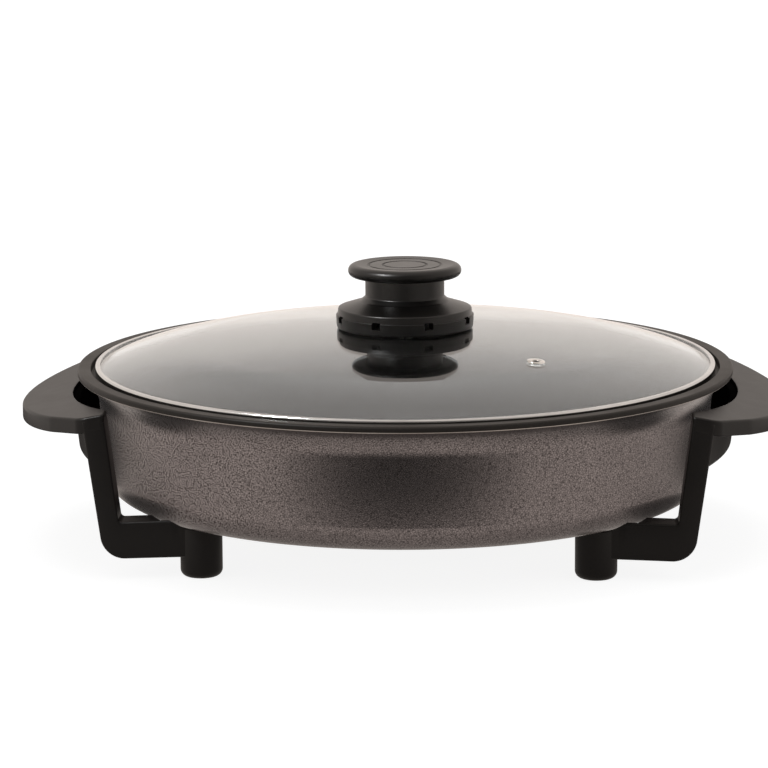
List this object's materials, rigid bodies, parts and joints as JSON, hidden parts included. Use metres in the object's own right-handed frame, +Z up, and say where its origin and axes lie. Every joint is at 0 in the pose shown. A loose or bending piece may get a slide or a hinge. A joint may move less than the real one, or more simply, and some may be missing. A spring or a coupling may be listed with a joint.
{
  "type": "electric skillet",
  "caption": "Round electric skillet: cast pan on leg frames moulded with the side handles, domed glass lid with steel rim, steam eyelet and turning vent knob.",
  "frame": {"origin": "on the table, on the pan's axis", "axes": "+X through the right handle, -Y towards the cook, +Y through the plug inlet, +Z up"},
  "size_m": [0.396, 0.338, 0.1415],
  "materials": {
    "pan_coating": "hammertone enamel outside, satin non-stick rim and inside",
    "element_steel": "annealed tube",
    "pin_metal": "nickel plated",
    "ceramic": "glazed steatite",
    "sleeve_metal": "drawn tube",
    "shroud_moulding": "heat-proof moulding",
    "fastener_steel": "zinc plated",
    "handle_moulding": "satin phenolic moulding",
    "lid_glass": "clear tempered",
    "ring_steel": "polished stainless",
    "eyelet_steel": "polished stainless",
    "gasket_rubber": "silicone",
    "knob_moulding": "satin phenolic moulding",
    "insert_brass": "turned"
  },
  "bodies": {
    "cooker_base": {"pan": "pan_coating", "heating_element": "element_steel", "terminal_pins": "pin_metal", "pin_insulators": "ceramic", "sensor_sleeve": "sleeve_metal", "inlet_shroud": "shroud_moulding", "inlet_screws": "fastener_steel", "handle_right": "handle_moulding", "handle_left": "handle_moulding", "leg_screws": "fastener_steel", "leg_washers": "fastener_steel"},
    "lid": {"lid_glass": "lid_glass", "lid_ring": "ring_steel", "steam_eyelet": "eyelet_steel", "lower_gasket": "gasket_rubber", "upper_gasket": "gasket_rubber", "knob_washer": "fastener_steel", "knob_screw": "fastener_steel", "knob_insert": "insert_brass", "vent_ring": "knob_moulding", "retaining_washer": "fastener_steel", "retaining_screw": "fastener_steel"},
    "knob": {"knob_body": "knob_moulding", "knob_cap": "knob_moulding"}
  },
  "joints": [
    {"name": "lid_lift", "type": "slide", "parent": "cooker_base", "child": "lid", "axis": [0, 0, 1], "range_m": [0, 0.16]},
    {"name": "vent_turn", "type": "hinge", "parent": "lid", "child": "knob", "pos_m": [0, 0, 0.12], "axis": [0, 0, 1], "range_deg": [0, 22.5]}
  ]
}
